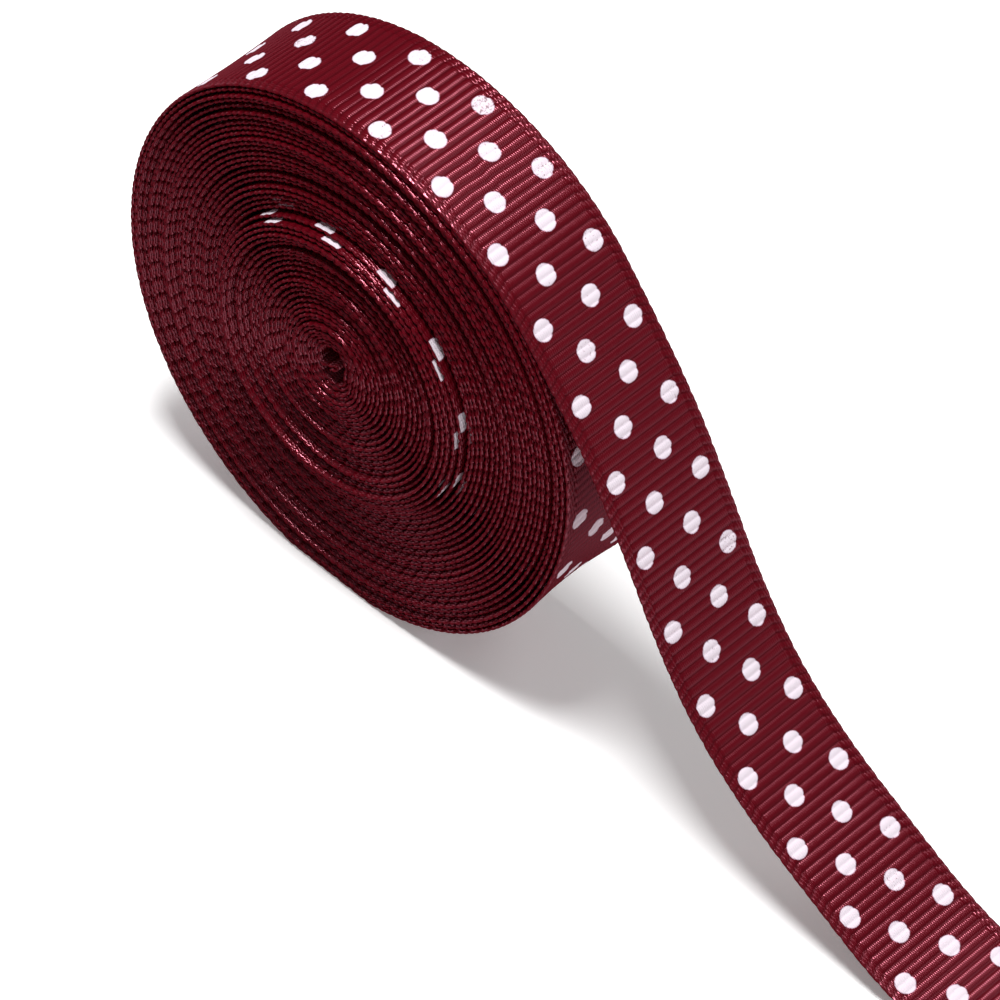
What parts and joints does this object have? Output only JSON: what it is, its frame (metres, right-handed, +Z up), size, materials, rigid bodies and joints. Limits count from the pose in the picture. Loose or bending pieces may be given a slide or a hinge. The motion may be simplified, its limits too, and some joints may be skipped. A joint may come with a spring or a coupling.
{
  "type": "roll of grosgrain ribbon",
  "caption": "Coreless roll of dotted, ribbed ribbon standing on its rim, its loose end arching down and lying out flat, for trimming and wrapping.",
  "frame": {"origin": "on the surface the roll stands on, at its flat spot, under the roll's axis and halfway across the ribbon", "axes": "+Z up, +X the way the loose end runs out, and the roll's axis along Y with the face on show towards -Y"},
  "size_m": [0.1342, 0.0169, 0.0625],
  "materials": {
    "ribbon_edges": "wine red woven selvedges, turn on turn, matt",
    "ribbon_face": "wine red grosgrain with crosswise ribs, low sheen, printed with white dots"
  },
  "bodies": {
    "root": {"wound_roll": "ribbon_edges", "loose_end": "ribbon_face"}
  },
  "joints": []
}
